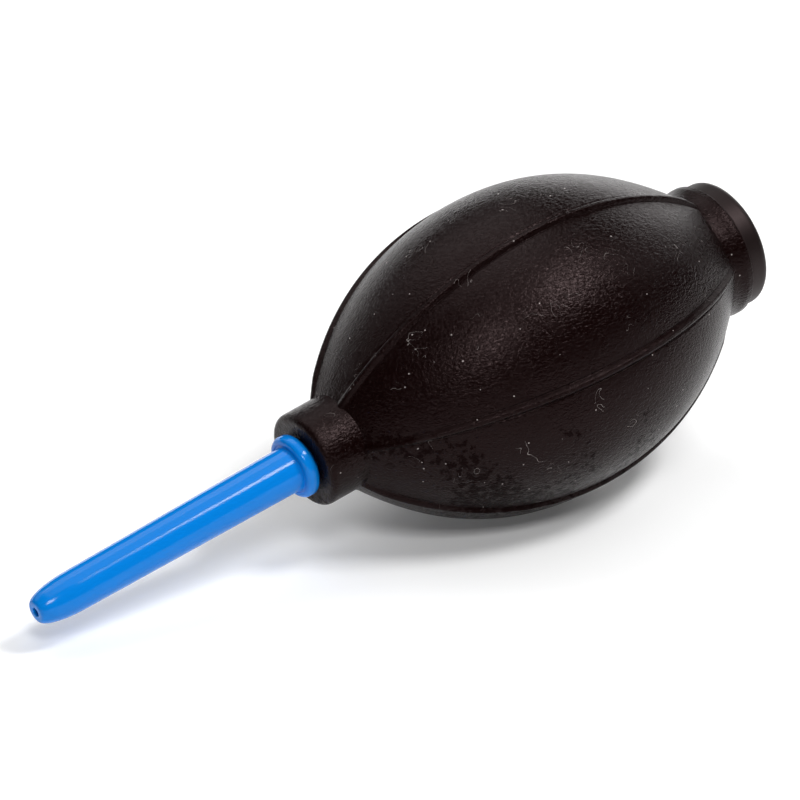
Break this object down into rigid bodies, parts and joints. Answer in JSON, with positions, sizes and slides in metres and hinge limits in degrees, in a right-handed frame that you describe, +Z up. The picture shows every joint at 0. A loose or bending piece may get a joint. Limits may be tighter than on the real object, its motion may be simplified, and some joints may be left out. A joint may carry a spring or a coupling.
{
  "type": "dust blower bulb",
  "caption": "Hand-squeezed rubber air blower for dusting small mechanisms, with a ribbed egg-shaped bulb, a blue plastic nozzle and a rear inlet valve behind a flat foot.",
  "frame": {"origin": "middle of the blower's box, on the ground that it lies on", "axes": "+X from the nozzle to the foot, +Z up; the blower lies on its belly with its axis 10.1 degrees nose-down from +X, in the plane Y = 0"},
  "size_m": [0.1512, 0.057, 0.0569],
  "materials": {
    "bulb_rubber": "fine moulded grain, satin, warm brown-black",
    "nozzle_plastic": "gloss, bright blue",
    "foot_plastic": "smooth satin black",
    "valve_silicone": "soft translucent silicone"
  },
  "bodies": {
    "bulb": {"bulb_belly": "bulb_rubber", "bulb_collar": "bulb_rubber"},
    "neck": {"bulb_neck": "bulb_rubber"},
    "nozzle": {"nozzle": "nozzle_plastic"},
    "valve": {"valve_body": "foot_plastic", "valve_cage": "foot_plastic"},
    "disc": {"valve_disc": "valve_silicone"}
  },
  "joints": [
    {"name": "squeeze", "type": "slide", "parent": "bulb", "child": "neck", "axis": [-0.9844, 0, -0.1757], "range_m": [0, 0.004], "stiffness_N_per_m": 400, "deforming": ["bulb_belly"]},
    {"name": "nozzle_pull", "type": "slide", "parent": "neck", "child": "nozzle", "axis": [-0.977, 0, -0.2134], "range_m": [0, 0.012]},
    {"name": "valve_pull", "type": "slide", "parent": "bulb", "child": "valve", "axis": [0.9844, 0, 0.1757], "range_m": [0, 0.012]},
    {"name": "disc_lift", "type": "slide", "parent": "valve", "child": "disc", "axis": [-0.9844, 0, -0.1757], "range_m": [0, 0.001]}
  ]
}
